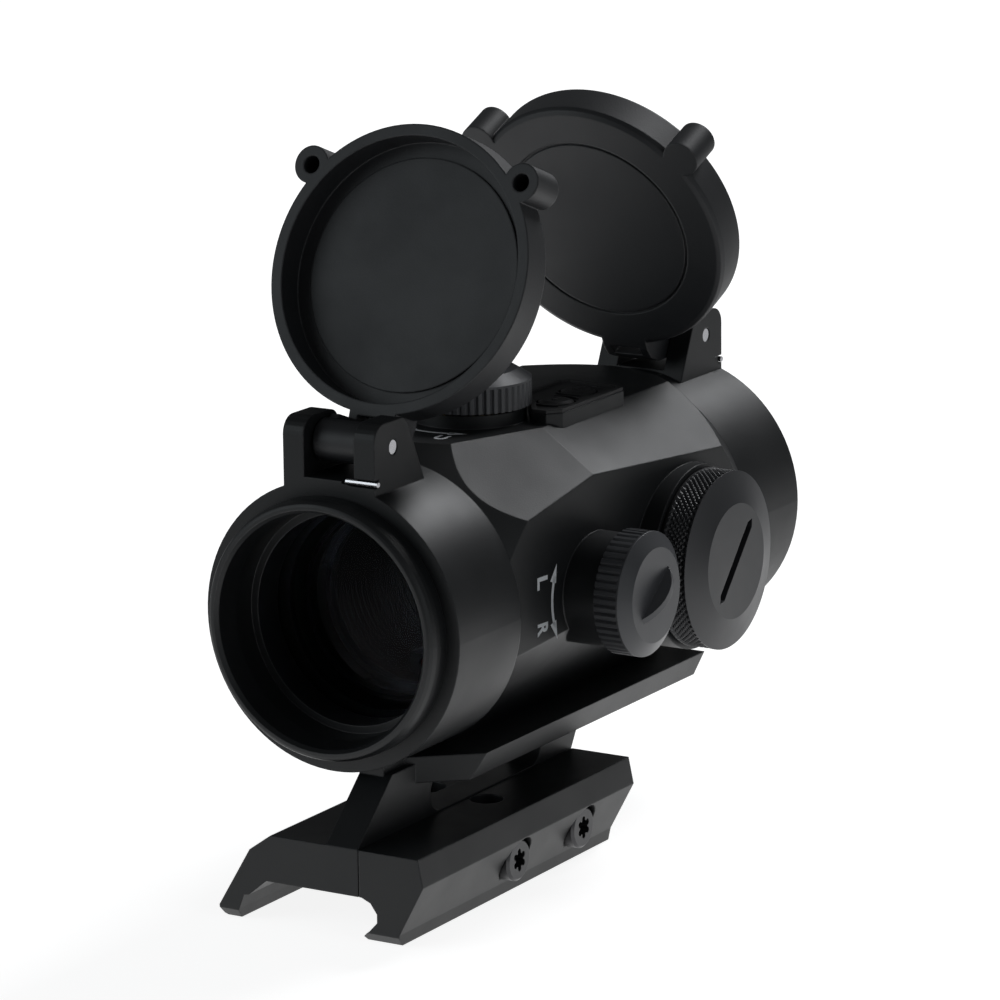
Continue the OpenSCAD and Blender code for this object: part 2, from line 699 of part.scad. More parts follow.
// A closed tube of radius r along a list of points, with n sides
module wire_along(points, r, n = 8) {
    last = len(points) - 1;
    function heading(i) = let (a = points[max(i - 1, 0)], b = points[min(i + 1, last)]) (b - a) / norm(b - a);
    function side_of(d) = let (s = abs(d[0]) < 0.9 ? cross(d, [1, 0, 0]) : cross(d, [0, 0, 1])) s / norm(s);
    rings = [for (i = [0:last]) let (d = heading(i), u = side_of(d), v = cross(d, u))
        each [for (k = [0:n - 1]) points[i] + r * (cos(360 * k / n) * u + sin(360 * k / n) * v)]];
    polyhedron(rings, concat([[for (k = [0:n - 1]) k], [for (k = [n - 1:-1:0]) last * n + k]],
        [for (i = [0:last - 1], k = [0:n - 1]) [i * n + k, (i + 1) * n + k,
            (i + 1) * n + (k + 1) % n, i * n + (k + 1) % n]]));
}

// Torsion spring on the hinge pin, in the frame of the housing with the pin on the X axis
module torsion_spring() {
    turns = 3;
    r = 1.62;
    steps = 20;
    coil = [for (i = [0:turns * steps]) let (a = 360 * i / steps)
        [spring_x + 0.6 + i * 0.74 / steps, r * sin(a), r * cos(a)]];
    wire_along(coil, wire / 2);
}

// End of the spring that lies in the notch across the front of the ear
module spring_leg() {
    leg_z = 20.2 - hinge_z - 0.02;
    leg_y = -hinge_in + 0.45;
    wire_along([[yoke_gap / 2 - 1.5, leg_y, leg_z], [yoke_w / 2 + 0.3, leg_y, leg_z]], wire / 2 + 0.05);
}

module hinge_pin() translate([-yoke_w / 2 + 0.1, 0, 0]) rotate([0, 90, 0])
    cylinder(h = yoke_w - 0.2, d = hinge_pin_d);

module at_rear() translate([0, hinge_in, hinge_z]) children();
module at_front() translate([0, tube_len - hinge_in, hinge_z]) mirror([0, 1, 0]) children();

module ocular_cap() color(black) at_rear() rotate([-180 - rear_lean, 0, 0]) cap();
module ocular_cap_insert() color(black) at_rear() rotate([-180 - rear_lean, 0, 0]) cap_insert();
module ocular_hinge_pin() color(steel) at_rear() hinge_pin();
module ocular_cap_spring() color(steel) at_rear() { torsion_spring(); spring_leg(); }
module objective_cap() color(black) at_front() rotate([-180 - front_lean, 0, 0]) cap();
module objective_cap_insert() color(black) at_front() rotate([-180 - front_lean, 0, 0]) cap_insert();
module objective_hinge_pin() color(steel) at_front() hinge_pin();
module objective_cap_spring() color(steel) at_front() { torsion_spring(); spring_leg(); }

// ------------------------------------------------------------ riser mount

rail_half = rail_w / 2;
screw_z = -seat_depth - 0.7;
plate_screw_at = [23.4, 60];
plate_screw_d = 4;
plate_screw_in = 2.6;
window_rear = 12;
window_front = 41.5;
base_front = base_rear + base_len;
bar_side = web_side + bar_gap;
plate_low = plate_depth + plate_t;

// Outline of the whole base seen from the rear, with the rail channel cut out
module base_section() {
    top = -base_depth;
    low = -jaw_depth;
    seat = -seat_depth;
    polygon([[-6.2, top], [-9.6, top - 2.4], [-14.7, low + 1.8], [-14.6, low + 0.3], [-14.2, low],
        [-12, low], [-11.5, low + 1.6], [-rail_half - 0.1, low + 3.7], [-9.8, low + 3.9],
        [-7, seat], [rail_half - 2.4, seat], [rail_half - 1, seat - 0.6], [rail_half, seat - 2],
        [rail_half, seat - 3.2], [9.4, low + 1.7], [8, low + 0.6], [8.3, low], [13.7, low],
        [14.1, low + 1.8], [17.9, top - 3.8], [17.1, top]]);
}

module base_solid() translate([0, base_rear + base_len, 0]) rotate([90, 0, 0])
    linear_extrude(base_len) base_section();

// Wedge that bevels the rear end of the jaws
module jaw_bevel() {
    c = 1.4;
    translate([-30, 0, 0]) rotate([90, 0, 90]) linear_extrude(60)
        polygon([[base_rear - 1, -jaw_depth - 1], [base_rear + c + 1, -jaw_depth - 1],
            [base_rear - 1, -jaw_depth + c + 1]]);
}

// Plan outline of the plate that carries the housing
module plate_outline(half) polygon([[2.7, 2], [6.5, 2], [6.5, 7.2], [half, 14.6], [half, 76],
    [-half, 76], [-half, 30], [-6, 20], [2.7, 12]]);

// Plate with side faces that slope in towards its lower edge
module plate() {
    slope = 1.8;
    intersection() {
        translate([0, 0, -plate_low]) linear_extrude(plate_t) plate_outline(plate_half);
        translate([0, 90, 0]) rotate([90, 0, 0]) linear_extrude(100) polygon([
            [-plate_half + slope, -plate_low], [plate_half - slope, -plate_low],
            [plate_half, -plate_depth], [-plate_half, -plate_depth]]);
    }
}

// Web between the base and the plate, with a long rounded window
module web() {
    end_r = (base_depth - plate_low) / 2 - 0.15;
    mid = -(base_depth + plate_low) / 2;
    translate([web_side, 0, 0]) rotate([90, 0, -90]) linear_extrude(web_t) difference() {
        polygon([[-base_rear, -base_depth - 1], [-base_rear, -base_depth], [-2.4, -plate_depth - 1],
            [-60, -plate_depth - 1], [-56, -plate_low], [-52, -plate_low - 2.4], [-base_front, -base_depth],
            [-base_front, -base_depth - 1]]);
        translate([-window_rear - end_r, mid]) circle(r = end_r);
        translate([-window_front + end_r, mid]) circle(r = end_r);
        translate([-window_front + end_r, mid - end_r])
            square([window_front - window_rear - 2 * end_r, 2 * end_r]);
    }
}

module riser_mount() color(black) difference() {
    union() {
        intersection() {
            base_solid();
            translate([-40, -40, -60]) cube([40 + web_side, 140, 60]);
        }
        web();
        plate();
    }
    jaw_bevel();
    for (i = [0, 1]) translate([-40, screw_rear + i * screw_pitch, screw_z]) rotate([0, 90, 0])
        cylinder(h = 60, d = screw_d + 2 * fit);
    translate([0, plate_screw_at[0], -60]) cylinder(h = 60 - base_depth + 1, d = 5.6);
    for (y = plate_screw_at) translate([0, y, -40]) cylinder(h = 40, d = plate_screw_d + 2 * fit);
    for (y = plate_screw_at) translate([0, y, -plate_low - 1]) cylinder(h = 2.4, d = 7.2);
    along_y(-20) cylinder(h = 20 + rear_len, r = tube_r + fit);
    for (i = [0, 1]) translate([-web_side, screw_rear + i * screw_pitch - relief_w / 2, -seat_depth - eps])
        cube([2 * web_side, relief_w, screw_z + screw_d / 2 + seat_depth + relief_over]);
}

module plate_screws() color(steel) for (y = plate_screw_at) translate([0, y, -plate_low + 1.4 - 1.9]) difference() {
    union() {
        cylinder(h = 1.9, d = 6.8);
        cylinder(h = plate_t + 0.5 + plate_screw_in - 0.4, d = plate_screw_d - 2 * fit);
    }
    translate([0, 0, -1]) cylinder(h = 2.2, d = 2.6, $fn = 6);
}

module clamp_bar() color(black) difference() {
    intersection() {
        base_solid();
        translate([bar_side, -40, -60]) cube([40, 140, 60]);
    }
    jaw_bevel();
    for (i = [0, 1]) translate([0, screw_rear + i * screw_pitch, screw_z]) rotate([0, 90, 0]) {
        cylinder(h = 60, d = screw_d + 2 * run);
        translate([0, 0, head_at]) cylinder(h = 20, d = head_d + 2 * apart);
    }
    translate([10.3, 22.4, -base_depth - 4]) cylinder(h = 6, d = 4.7);
}

head_at = 14.6;
head_t = 2.2;
relief_over = 0.3;
relief_w = screw_d + 1.2;
screw_end = -11;

// Clamp screw with a flat round head and a six-lobed socket
module clamp_screw(i) color(steel) translate([0, screw_rear + i * screw_pitch, screw_z]) rotate([0, 90, 0]) difference() {
    edge = 0.35;
    union() {
        translate([0, 0, screw_end]) cylinder(h = head_at - screw_end + 0.5, d = screw_d);
        translate([0, 0, head_at + eps]) cylinder(h = head_t - edge, d = head_d);
        translate([0, 0, head_at + head_t - edge]) cylinder(h = edge, d1 = head_d, d2 = head_d - 2 * edge);
    }
    translate([0, 0, head_at + head_t - 1.5]) for (a = [0:60:300]) rotate([0, 0, a]) {
        translate([1.15, 0, 0]) cylinder(h = 3, d = 0.9, $fn = 24);
        cylinder(h = 3, d = 2.1, $fn = 24);
    }
}

module rear_clamp_screw() clamp_screw(0);
module front_clamp_screw() clamp_screw(1);

housing();
ocular_bezel();
ocular_window();
ocular_retainer();
objective_bezel();
objective_window();
objective_retainer();
inner_tube();
eyepiece_lens();
collimator_lens();
gimbal_ring();
led_holder();
led_emitter();
return_spring();
ocular_cap();
ocular_cap_insert();
ocular_hinge_pin();
ocular_cap_spring();
objective_cap();
objective_cap_insert();
objective_hinge_pin();
objective_cap_spring();
windage_bushing();
windage_dial();
windage_plunger();
windage_seal();
windage_cap();
elevation_bushing();
elevation_dial();
elevation_plunger();
elevation_seal();
elevation_cap();
battery_tube();
battery_contact();
coin_cell();
battery_seal();
battery_cap();
keypad();
brighter_button();
dimmer_button();
circuit_board();
dome_switches();
riser_mount();
plate_screws();
clamp_bar();
rear_clamp_screw();
front_clamp_screw();
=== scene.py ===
"""Red dot finder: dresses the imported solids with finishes, and adds the marks and small trim."""
import math

import bpy
import bmesh
from mathutils import Matrix, Vector


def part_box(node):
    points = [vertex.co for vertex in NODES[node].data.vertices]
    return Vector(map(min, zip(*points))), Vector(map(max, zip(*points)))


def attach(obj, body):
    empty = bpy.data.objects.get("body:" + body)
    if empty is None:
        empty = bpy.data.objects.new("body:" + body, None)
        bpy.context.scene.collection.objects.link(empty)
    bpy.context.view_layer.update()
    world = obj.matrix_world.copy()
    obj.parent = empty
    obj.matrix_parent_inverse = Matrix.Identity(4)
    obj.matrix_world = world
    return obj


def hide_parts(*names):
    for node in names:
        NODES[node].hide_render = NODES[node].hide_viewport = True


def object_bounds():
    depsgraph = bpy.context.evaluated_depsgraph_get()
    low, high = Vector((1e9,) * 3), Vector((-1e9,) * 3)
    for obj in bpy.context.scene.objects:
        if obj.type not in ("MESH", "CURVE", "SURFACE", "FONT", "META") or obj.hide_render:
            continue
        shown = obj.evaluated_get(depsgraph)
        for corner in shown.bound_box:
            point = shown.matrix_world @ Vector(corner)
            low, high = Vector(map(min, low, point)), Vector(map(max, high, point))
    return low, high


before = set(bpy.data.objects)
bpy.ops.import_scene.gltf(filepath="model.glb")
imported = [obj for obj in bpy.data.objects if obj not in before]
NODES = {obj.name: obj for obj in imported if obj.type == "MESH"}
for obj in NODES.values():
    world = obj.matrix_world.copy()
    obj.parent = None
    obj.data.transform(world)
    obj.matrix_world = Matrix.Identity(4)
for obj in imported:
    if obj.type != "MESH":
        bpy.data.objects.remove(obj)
cad_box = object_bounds()
MM = 0.001

# ------------------------------------------------------------------ camera

CAMERA_AZIMUTH = 31.04    # degrees, from straight behind round towards +X
CAMERA_ELEVATION = 13.04
CAMERA_ROLL = -0.62
CAMERA_AIM = (-3.64, 50.0, 6.84)
CAMERA_AWAY = 708.3
LENS = 179.53
SENSOR = 36.0


def aim_camera():
    """Long lens, a little above the finder and to the right of its rear end."""
    azimuth, elevation = math.radians(CAMERA_AZIMUTH), math.radians(CAMERA_ELEVATION)
    roll = math.radians(CAMERA_ROLL)
    target = Vector(CAMERA_AIM) * MM
    back = Vector((math.sin(azimuth) * math.cos(elevation),
                   -math.cos(azimuth) * math.cos(elevation), math.sin(elevation)))
    level = Vector((math.cos(azimuth), math.sin(azimuth), 0.0))
    upright = back.cross(level)
    right = level * math.cos(roll) + upright * math.sin(roll)
    up = upright * math.cos(roll) - level * math.sin(roll)
    data = bpy.data.cameras.new("camera")
    data.sensor_width = SENSOR
    data.lens = LENS
    data.clip_start, data.clip_end = 0.05, 20.0
    camera = bpy.data.objects.new("camera", data)
    bpy.context.scene.collection.objects.link(camera)
    turn = Matrix((right, up, back)).transposed().to_4x4()
    camera.matrix_world = Matrix.Translation(target + back * (CAMERA_AWAY * MM)) @ turn
    bpy.context.scene.camera = camera


# --------------------------------------------------------- shader helpers

PIT_SHARE = 0.6           # scale of the pits against the grain's
PIT_DEPTH = 0.5
METAL_RELIEF = 0.00002    # metres
SOFT_RELIEF = 0.00004
GLASS_IOR = 1.09          # low, because a coated window hardly reflects
GLASS_SMEAR = 0.012
GLASS_RIM = 0.35
METAL_LIGHTER = 1.35      # colour at the light end of its drift, against the one given
SOFT_DARKER, SOFT_LIGHTER = 0.8, 1.3
SOFT_SPECULAR = 0.4


def add_node(tree, kind, **values):
    """A node with its settings, and its inputs where a key names one."""
    node = tree.nodes.new(kind)
    for key, value in values.items():
        if hasattr(node, key):
            setattr(node, key, value)
        else:
            node.inputs[key.replace("_", " ")].default_value = value
    return node


def start_group(name, inputs, outputs):
    """An empty node group with its sockets: (name, kind, default)."""
    group = bpy.data.node_groups.new(name, "ShaderNodeTree")
    for label, kind, default in inputs:
        socket = group.interface.new_socket(label, in_out="INPUT", socket_type=kind)
        if default is not None:
            socket.default_value = default
    for label, kind in outputs:
        group.interface.new_socket(label, in_out="OUTPUT", socket_type=kind)
    return group, group.nodes.new("NodeGroupInput"), group.nodes.new("NodeGroupOutput")


def make_edge_wear():
    """Rounded-edge normal, and a broken mask along the sharp edges."""
    group, given, out = start_group(
        "edge wear",
        [("Radius", "NodeSocketFloat", 0.0003), ("Amount", "NodeSocketFloat", 0.6),
         ("Patch Scale", "NodeSocketFloat", 900.0)],
        [("Mask", "NodeSocketFloat"), ("Normal", "NodeSocketVector")])
    link = group.links.new
    rounded = add_node(group, "ShaderNodeBevel", samples=6)
    flat = add_node(group, "ShaderNodeNewGeometry")
    dot = add_node(group, "ShaderNodeVectorMath", operation="DOT_PRODUCT")
    gap = add_node(group, "ShaderNodeMapRange", From_Min=0.995, From_Max=0.86)
    place = add_node(group, "ShaderNodeTexCoord")
    patches = add_node(group, "ShaderNodeTexNoise", Detail=4.0)
    broken = add_node(group, "ShaderNodeMapRange", From_Min=0.38, From_Max=0.62, To_Min=0.25)
    both = add_node(group, "ShaderNodeMath", operation="MULTIPLY")
    scaled = add_node(group, "ShaderNodeMath", operation="MULTIPLY", use_clamp=True)
    link(given.outputs["Radius"], rounded.inputs["Radius"])
    link(rounded.outputs["Normal"], dot.inputs[0])
    link(flat.outputs["Normal"], dot.inputs[1])
    link(dot.outputs["Value"], gap.inputs["Value"])
    link(place.outputs["Object"], patches.inputs["Vector"])
    link(given.outputs["Patch Scale"], patches.inputs["Scale"])
    link(patches.outputs["Fac"], broken.inputs["Value"])
    link(gap.outputs["Result"], both.inputs[0])
    link(broken.outputs["Result"], both.inputs[1])
    link(both.outputs["Value"], scaled.inputs[0])
    link(given.outputs["Amount"], scaled.inputs[1])
    link(scaled.outputs["Value"], out.inputs["Mask"])
    link(rounded.outputs["Normal"], out.inputs["Normal"])
    return group


def make_fine_grain():
    """Blasted or moulded grain as a height, with roughness that drifts over the surface."""
    group, given, out = start_group(
        "fine grain",
        [("Grain Scale", "NodeSocketFloat", 9000.0), ("Drift Scale", "NodeSocketFloat", 60.0),
         ("Rough Low", "NodeSocketFloat", 0.3), ("Rough High", "NodeSocketFloat", 0.45)],
        [("Height", "NodeSocketFloat"), ("Roughness", "NodeSocketFloat"),
         ("Drift", "NodeSocketFloat")])
    link = group.links.new
    place = add_node(group, "ShaderNodeTexCoord")
    grain = add_node(group, "ShaderNodeTexNoise", Detail=3.0)
    pits = add_node(group, "ShaderNodeTexVoronoi", feature="F1")
    coarser = add_node(group, "ShaderNodeMath", operation="MULTIPLY")
    coarser.inputs[1].default_value = PIT_SHARE
    drift = add_node(group, "ShaderNodeTexNoise", Detail=5.0, Roughness=0.62)
    mix = add_node(group, "ShaderNodeMath", operation="MULTIPLY_ADD")
    mix.inputs[1].default_value = PIT_DEPTH
    spread = add_node(group, "ShaderNodeMapRange", From_Min=0.32, From_Max=0.68)
    link(place.outputs["Object"], grain.inputs["Vector"])
    link(place.outputs["Object"], pits.inputs["Vector"])
    link(place.outputs["Object"], drift.inputs["Vector"])
    link(given.outputs["Grain Scale"], grain.inputs["Scale"])
    link(given.outputs["Grain Scale"], coarser.inputs[0])
    link(coarser.outputs["Value"], pits.inputs["Scale"])
    link(given.outputs["Drift Scale"], drift.inputs["Scale"])
    link(pits.outputs["Distance"], mix.inputs[0])
    link(grain.outputs["Fac"], mix.inputs[2])
    link(mix.outputs["Value"], out.inputs["Height"])
    link(drift.outputs["Fac"], spread.inputs["Value"])
    link(given.outputs["Rough Low"], spread.inputs["To Min"])
    link(given.outputs["Rough High"], spread.inputs["To Max"])
    link(spread.outputs["Result"], out.inputs["Roughness"])
    link(drift.outputs["Fac"], out.inputs["Drift"])
    return group


def make_turning_lines():
    """Fine lathe lines, as bands that follow each other along the finder's axis."""
    group, given, out = start_group(
        "turning lines",
        [("Across Scale", "NodeSocketFloat", 2600.0), ("Strength", "NodeSocketFloat", 1.0)],
        [("Height", "NodeSocketFloat")])
    link = group.links.new
    place = add_node(group, "ShaderNodeTexCoord")
    rings = add_node(group, "ShaderNodeTexWave", wave_type="BANDS", bands_direction="Y",
                     Distortion=0.6, Detail=3.0)
    scaled = add_node(group, "ShaderNodeMath", operation="MULTIPLY")
    link(place.outputs["Object"], rings.inputs["Vector"])
    link(given.outputs["Across Scale"], rings.inputs["Scale"])
    link(rings.outputs["Fac"], scaled.inputs[0])
    link(given.outputs["Strength"], scaled.inputs[1])
    link(scaled.outputs["Value"], out.inputs["Height"])
    return group


GROUPS = {"wear": make_edge_wear(), "grain": make_fine_grain(), "lines": make_turning_lines()}


def use_group(tree, key, **values):
    node = tree.nodes.new("ShaderNodeGroup")
    node.node_tree = GROUPS[key]
    for label, value in values.items():
        node.inputs[label.replace("_", " ")].default_value = value
    return node


def new_material(name):
    material = bpy.data.materials.new(name)
    material.use_nodes = True
    tree = material.node_tree
    return material, tree, tree.nodes["Principled BSDF"]


def drifting_tint(tree, skin, color, low, high):
    """The colour, drifting between a low and a high share of itself."""
    tint = add_node(tree, "ShaderNodeMix", data_type="RGBA")
    tint.inputs["A"].default_value = (*[c * low for c in color], 1)
    tint.inputs["B"].default_value = (*[c * high for c in color], 1)
    tree.links.new(skin.outputs["Drift"], tint.inputs["Factor"])
    return tint.outputs["Result"]


def add_bump(tree, shader, edges, height, strength, distance):
    """Bumps a height into the shader, over the rounded edges."""
    bumped = add_node(tree, "ShaderNodeBump", Strength=strength, Distance=distance)
    tree.links.new(edges.outputs["Normal"], bumped.inputs["Normal"])
    tree.links.new(height, bumped.inputs["Height"])
    tree.links.new(bumped.outputs["Normal"], shader.inputs["Normal"])


def coated_metal(name, color, edge_color, metallic, rough, grain, bump, wear, round_mm,
                 lines=0.0, specular=0.5):
    """Dyed or bare metal: grain, drifting roughness, worn soft edges, and lathe lines if asked."""
    material, tree, shader = new_material(name)
    link = tree.links.new
    edges = use_group(tree, "wear", Radius=round_mm * MM, Amount=wear)
    skin = use_group(tree, "grain", Grain_Scale=grain, Rough_Low=rough[0], Rough_High=rough[1])
    worn = add_node(tree, "ShaderNodeMix", data_type="RGBA")
    worn.inputs["B"].default_value = (*edge_color, 1)
    link(edges.outputs["Mask"], worn.inputs["Factor"])
    link(drifting_tint(tree, skin, color, 1.0, METAL_LIGHTER), worn.inputs["A"])
    link(worn.outputs["Result"], shader.inputs["Base Color"])
    link(skin.outputs["Roughness"], shader.inputs["Roughness"])
    shader.inputs["Metallic"].default_value = metallic
    shader.inputs["Specular IOR Level"].default_value = specular
    height = skin.outputs["Height"]
    if lines:
        lathe = use_group(tree, "lines", Strength=lines)
        total = add_node(tree, "ShaderNodeMath", operation="ADD")
        link(height, total.inputs[0])
        link(lathe.outputs["Height"], total.inputs[1])
        height = total.outputs["Value"]
    add_bump(tree, shader, edges, height, bump, METAL_RELIEF)
    return material


def soft_material(name, color, rough, grain, bump, round_mm=0.2):
    """Rubber, resin or board: one colour that drifts a little, with a moulded grain."""
    material, tree, shader = new_material(name)
    edges = use_group(tree, "wear", Radius=round_mm * MM)
    skin = use_group(tree, "grain", Grain_Scale=grain, Rough_Low=rough[0], Rough_High=rough[1])
    tint = drifting_tint(tree, skin, color, SOFT_DARKER, SOFT_LIGHTER)
    tree.links.new(tint, shader.inputs["Base Color"])
    tree.links.new(skin.outputs["Roughness"], shader.inputs["Roughness"])
    shader.inputs["Specular IOR Level"].default_value = SOFT_SPECULAR
    add_bump(tree, shader, edges, skin.outputs["Height"], bump, SOFT_RELIEF)
    return material


def glass_material(name, tint, coat_tint):
    """Clear glass with a coloured coating that shows more towards the rim of the view."""
    material, tree, shader = new_material(name)
    link = tree.links.new
    slant = add_node(tree, "ShaderNodeLayerWeight", Blend=GLASS_RIM)
    blend = add_node(tree, "ShaderNodeMix", data_type="RGBA")
    blend.inputs["A"].default_value = (*tint, 1)
    blend.inputs["B"].default_value = (*coat_tint, 1)
    link(slant.outputs["Facing"], blend.inputs["Factor"])
    link(blend.outputs["Result"], shader.inputs["Base Color"])
    smear = use_group(tree, "grain", Grain_Scale=2500.0, Drift_Scale=90.0,
                      Rough_Low=0.0, Rough_High=GLASS_SMEAR)
    link(smear.outputs["Roughness"], shader.inputs["Roughness"])
    shader.inputs["Transmission Weight"].default_value = 1.0
    shader.inputs["IOR"].default_value = GLASS_IOR
    return material


ANODISED = coated_metal("satin black anodising", (0.010, 0.011, 0.012), (0.1, 0.1, 0.105),
                        0.1, (0.4, 0.5), 7000.0, 0.45, wear=0.3, round_mm=0.3, specular=0.35)
CAP_FINISH = coated_metal("blasted black cap", (0.016, 0.017, 0.019), (0.1, 0.1, 0.105),
                          0.1, (0.46, 0.58), 5200.0, 0.5, wear=0.3, round_mm=0.35, specular=0.52)
TURNED = coated_metal("turned black anodising", (0.010, 0.011, 0.012), (0.13, 0.13, 0.135),
                      0.1, (0.38, 0.5), 7000.0, 0.25, wear=0.4, round_mm=0.2,
                      lines=0.5, specular=0.4)
KNURLED = coated_metal("knurled black anodising", (0.024, 0.025, 0.028), (0.12, 0.12, 0.125),
                       0.1, (0.36, 0.48), 7000.0, 0.2, wear=0.9, round_mm=0.08)
TURRET = coated_metal("turned turret cap", (0.055, 0.057, 0.062), (0.12, 0.12, 0.125),
                      0.1, (0.36, 0.48), 7000.0, 0.25, wear=0.5, round_mm=0.12, specular=0.5)
BAFFLE = coated_metal("flat black baffle", (0.004, 0.004, 0.005), (0.012, 0.012, 0.013),
                      0.0, (0.45, 0.6), 6000.0, 0.3, wear=0.2, round_mm=0.05, specular=0.2)
TUBE_BLACK = coated_metal("ribbed tube black", (0.002, 0.002, 0.003), (0.008, 0.008, 0.009),
                          0.0, (0.5, 0.65), 6000.0, 0.3, wear=0.2, round_mm=0.05, specular=0.06)
STEEL = coated_metal("bright steel", (0.56, 0.56, 0.58), (0.8, 0.8, 0.82),
                     1.0, (0.2, 0.32), 8000.0, 0.2, wear=0.5, round_mm=0.15)
BLACK_STEEL = coated_metal("blackened screw steel", (0.05, 0.05, 0.052), (0.2, 0.2, 0.2),
                           0.8, (0.3, 0.42), 8000.0, 0.3, wear=0.5, round_mm=0.15)
BRASS = coated_metal("plain brass", (0.62, 0.45, 0.18), (0.85, 0.68, 0.35),
                     1.0, (0.25, 0.38), 8000.0, 0.2, wear=0.5, round_mm=0.15)
RUBBER = soft_material("moulded rubber", (0.02, 0.02, 0.021), (0.5, 0.65), 4200.0, 0.6)
BOARD = soft_material("green board laminate", (0.02, 0.12, 0.05), (0.35, 0.5), 3000.0, 0.3)
RED_RESIN = soft_material("clear red resin", (0.09, 0.006, 0.005), (0.1, 0.2), 3000.0, 0.1)
MARK_PAINT = soft_material("white mark paint", (0.86, 0.88, 0.9), (0.4, 0.55), 5200.0, 0.3,
                           round_mm=0.05)
WINDOW = glass_material("clear coated glass", (0.9, 0.95, 1.0), (0.55, 0.7, 0.95))
COATED = glass_material("amber reflecting glass", (0.55, 0.7, 0.95), (0.95, 0.6, 0.4))

FINISHES = {
    "housing": ANODISED, "ocular_bezel": TURNED, "objective_bezel": TURNED,
    "ocular_window": WINDOW, "objective_window": WINDOW, "ocular_retainer": BAFFLE,
    "objective_retainer": BAFFLE, "inner_tube": TUBE_BLACK, "eyepiece_lens": WINDOW,
    "collimator_lens": COATED, "gimbal_ring": STEEL, "led_holder": BAFFLE,
    "led_emitter": RED_RESIN, "return_spring": STEEL, "ocular_cap": CAP_FINISH,
    "ocular_cap_insert": CAP_FINISH, "ocular_hinge_pin": STEEL, "ocular_cap_spring": STEEL,
    "objective_cap": CAP_FINISH, "objective_cap_insert": CAP_FINISH, "objective_hinge_pin": STEEL,
    "objective_cap_spring": STEEL, "windage_bushing": BRASS, "windage_dial": STEEL,
    "windage_plunger": STEEL, "windage_seal": RUBBER, "windage_cap": TURRET,
    "elevation_bushing": BRASS, "elevation_dial": STEEL, "elevation_plunger": STEEL,
    "elevation_seal": RUBBER, "elevation_cap": TURRET, "battery_tube": ANODISED,
    "battery_contact": BRASS, "coin_cell": STEEL, "battery_seal": RUBBER, "battery_cap": TURNED,
    "keypad": RUBBER, "brighter_button": RUBBER, "dimmer_button": RUBBER, "circuit_board": BOARD,
    "dome_switches": STEEL, "riser_mount": ANODISED, "plate_screws": BLACK_STEEL,
    "clamp_bar": ANODISED, "rear_clamp_screw": BLACK_STEEL, "front_clamp_screw": BLACK_STEEL,
}


def dress(obj, material):
    obj.data.materials.clear()
    obj.data.materials.append(material)


def dress_nodes():
    for name, material in FINISHES.items():
        dress(NODES[name], material)


# ------------------------------------------------------------------ pieces


def clear_selection():
    if bpy.context.object and bpy.context.object.mode != "OBJECT":
        bpy.ops.object.mode_set(mode="OBJECT")
    bpy.ops.object.select_all(action="DESELECT")


def pick_only(obj):
    bpy.ops.object.select_all(action="DESELECT")
    obj.select_set(True)
    bpy.context.view_layer.objects.active = obj


def select_where(kind, test):
    """Selects the verts, edges or faces of the mesh in edit mode that pass a test."""
    bpy.ops.mesh.select_mode(type={"verts": "VERT", "edges": "EDGE", "faces": "FACE"}[kind])
    mesh = bmesh.from_edit_mesh(bpy.context.object.data)
    for item in getattr(mesh, kind):
        item.select_set(False)
    for item in getattr(mesh, kind):
        if test(item):
            item.select_set(True)
    mesh.select_flush_mode()
    bmesh.update_edit_mesh(bpy.context.object.data)


def settle(obj):
    """Puts the piece's place into its mesh, with its faces outwards."""
    pick_only(obj)
    bpy.ops.object.transform_apply(location=True, rotation=True, scale=True)
    bpy.ops.object.mode_set(mode="EDIT")
    bpy.ops.mesh.select_all(action="SELECT")
    bpy.ops.mesh.remove_doubles(threshold=1e-6)
    bpy.ops.mesh.normals_make_consistent(inside=False)
    bpy.ops.object.mode_set(mode="OBJECT")
    obj.select_set(False)


def finish_piece(obj, name, material, body, matrix):
    """Names a modelled piece, puts it in place, and ties it to its body and material."""
    obj.matrix_world = matrix
    bpy.context.view_layer.update()
    obj.name = name
    obj.data.name = name
    settle(obj)
    dress(obj, material)
    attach(obj, body)


def apply_modifier(obj, kind, **values):
    pick_only(obj)
    modifier = obj.modifiers.new(kind.lower(), kind)
    for key, value in values.items():
        setattr(modifier, key, value)
    bpy.ops.object.modifier_apply(modifier=modifier.name)


def facing(right, up, place):
    """A matrix whose local X, Y and Z are the given right, up and their normal, at place in mm."""
    across, along = Vector(right).normalized(), Vector(up).normalized()
    turn = Matrix((across, along, across.cross(along))).transposed().to_4x4()
    return Matrix.Translation(Vector(place) * MM) @ turn


# ------------------------------------------------------------ battery cap

CAP_RADIUS = 12.7
BAND = 4.1
CONE = 1.25
FACE_RADIUS = 8.35
TEETH = 168
TOOTH_ROWS = 10
TOOTH_DEPTH = 0.3
SLOT_TURN = -42.0
SLOT_LENGTH = 12.0
SLOT_WIDTH = 1.5
SLOT_HEIGHT = 1.8         # half of it lies in the cap
SLOT_POINT = 1.0
SLOT_TIP = 0.08           # share of the width left at a point
FACE_EDGE = 0.12          # a narrow step round the face
FACE_RISE = 0.05
FACE_INSET = 4.0
NEARLY = 0.9              # share of a full length or normal that counts as all of it
STEEP = 0.6               # a face whose normal rises less than this is part of the rim
SMOOTH_BELOW = 14         # degrees between faces


